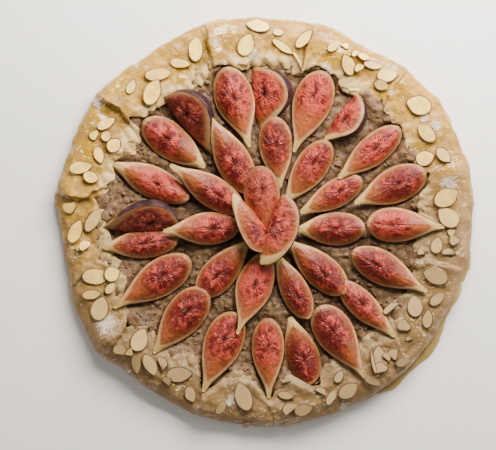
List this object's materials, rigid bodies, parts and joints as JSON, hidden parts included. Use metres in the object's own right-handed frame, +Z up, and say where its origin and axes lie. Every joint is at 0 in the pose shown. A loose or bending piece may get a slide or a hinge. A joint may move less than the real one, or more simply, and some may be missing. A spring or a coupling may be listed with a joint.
{
  "type": "fruit galette",
  "caption": "Round open tart with a hand-folded pastry edge round a crumb filling, topped with fig wedges laid like a flower and sliced almonds on the edge.",
  "frame": {"origin": "centre of the galette's box, on the plane it stands on", "axes": "+Z up; +Y towards the top of the fig flower's three middle wedges, +X to the right of it"},
  "size_m": [0.3066, 0.299, 0.0304],
  "materials": {
    "pastry": "raw butter pastry brushed with egg",
    "filling": "rough crumb",
    "fig": "moist cut flesh and thin dark skin",
    "almond": "dry sliced nut"
  },
  "bodies": {
    "root": {"pastry": "pastry", "filling": "filling", "fig_outer_01": "fig", "fig_outer_02": "fig", "fig_outer_03": "fig", "fig_outer_04": "fig", "fig_outer_05": "fig", "fig_outer_06": "fig", "fig_outer_07": "fig", "fig_outer_08": "fig", "fig_outer_09": "fig", "fig_outer_10": "fig", "fig_outer_11": "fig", "fig_outer_12": "fig", "fig_outer_13": "fig", "fig_outer_14": "fig", "fig_outer_15": "fig", "fig_outer_16": "fig", "fig_side_01": "fig", "fig_side_02": "fig", "fig_side_03": "fig", "fig_side_04": "fig", "fig_inner_01": "fig", "fig_inner_02": "fig", "fig_inner_03": "fig", "fig_inner_04": "fig", "fig_inner_05": "fig", "fig_inner_06": "fig", "fig_inner_07": "fig", "fig_inner_08": "fig", "fig_inner_09": "fig", "fig_inner_10": "fig", "fig_inner_11": "fig", "fig_middle_01": "fig", "fig_middle_02": "fig", "fig_middle_03": "fig", "almond_01": "almond", "almond_02": "almond", "almond_03": "almond", "almond_04": "almond", "almond_05": "almond", "almond_06": "almond", "almond_07": "almond", "almond_08": "almond", "almond_09": "almond", "almond_10": "almond", "almond_11": "almond", "almond_12": "almond", "almond_13": "almond", "almond_14": "almond", "almond_15": "almond", "almond_16": "almond", "almond_17": "almond", "almond_18": "almond", "almond_19": "almond", "almond_20": "almond", "almond_21": "almond", "almond_22": "almond", "almond_23": "almond", "almond_24": "almond"}
  },
  "joints": []
}
